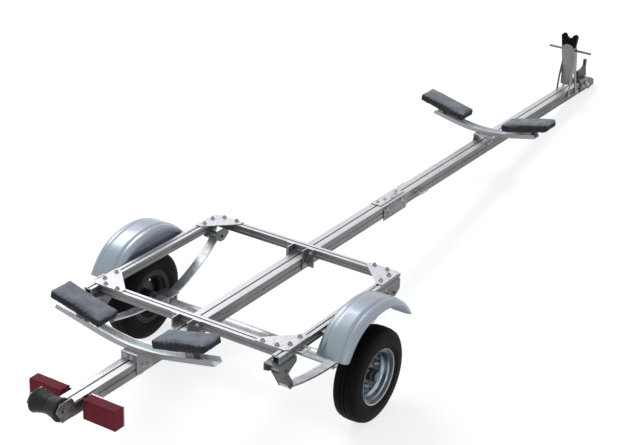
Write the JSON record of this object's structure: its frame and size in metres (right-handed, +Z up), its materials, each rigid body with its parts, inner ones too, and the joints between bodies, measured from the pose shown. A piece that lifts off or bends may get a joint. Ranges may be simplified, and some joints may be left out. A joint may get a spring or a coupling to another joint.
{
  "type": "boat trailer",
  "caption": "Single-beam aluminium trailer for a light boat, with a wheeled frame, two padded cradles, a keel roller, a bow post and a ball coupler.",
  "frame": {"origin": "on the floor, below the centre of the overall box, as the trailer parks with its nose down", "axes": "+X towards the coupler, +Y to the trailer's left, +Z up"},
  "size_m": [4.6968, 1.304, 0.7188],
  "materials": {
    "aluminium": "satin",
    "galvanised": "galvanised",
    "guard": "silver grey, satin",
    "tyre": "moulded rubber",
    "rubber": "moulded rubber",
    "carpet": "charcoal carpet",
    "lens": "clear red"
  },
  "bodies": {
    "chassis": {"angle_brackets": "galvanised", "axle": "galvanised", "axle_clamp_left": "galvanised", "axle_clamp_right": "galvanised", "beam_front": "aluminium", "beam_rear": "aluminium", "bow_horns": "galvanised", "bow_post": "galvanised", "bow_stop": "rubber", "coupler_body": "galvanised", "coupler_latch": "galvanised", "cradle_front": "aluminium", "cradle_rear": "aluminium", "crossmember_front": "aluminium", "crossmember_rear": "aluminium", "fender_brackets": "aluminium", "fender_left": "guard", "fender_right": "guard", "gusset_plates": "aluminium", "lamp_brackets": "galvanised", "lamp_left": "lens", "lamp_right": "lens", "leaf_spring_left": "galvanised", "leaf_spring_right": "galvanised", "pad_brackets": "aluminium", "pad_front_left": "carpet", "pad_front_right": "carpet", "pad_rear_left": "carpet", "pad_rear_right": "carpet", "roller_bracket": "galvanised", "saddle_front": "aluminium", "saddle_rear": "aluminium", "side_rail_left": "aluminium", "side_rail_right": "aluminium", "splice_plates": "aluminium", "spring_hanger_left": "galvanised", "spring_hanger_right": "galvanised", "spring_shackle_left": "galvanised", "spring_shackle_right": "galvanised", "strap_loops": "galvanised"},
    "wheel_left": {"tyre_left": "tyre", "rim_left": "galvanised", "hub_left": "galvanised"},
    "wheel_right": {"tyre_right": "tyre", "rim_right": "galvanised", "hub_right": "galvanised"},
    "roller": {"keel_roller": "rubber"}
  },
  "joints": [
    {"name": "wheel_left_spin", "type": "hinge", "parent": "chassis", "child": "wheel_left", "pos_m": [-1.07052, 0.59, 0.206], "axis": [0, 1, 0], "continuous": true},
    {"name": "wheel_right_spin", "type": "hinge", "parent": "chassis", "child": "wheel_right", "pos_m": [-1.07052, -0.59, 0.206], "axis": [0, 1, 0], "continuous": true},
    {"name": "keel_roller_spin", "type": "hinge", "parent": "chassis", "child": "roller", "pos_m": [-2.30038, 0, 0.59546], "axis": [0, 1, 0], "continuous": true}
  ]
}
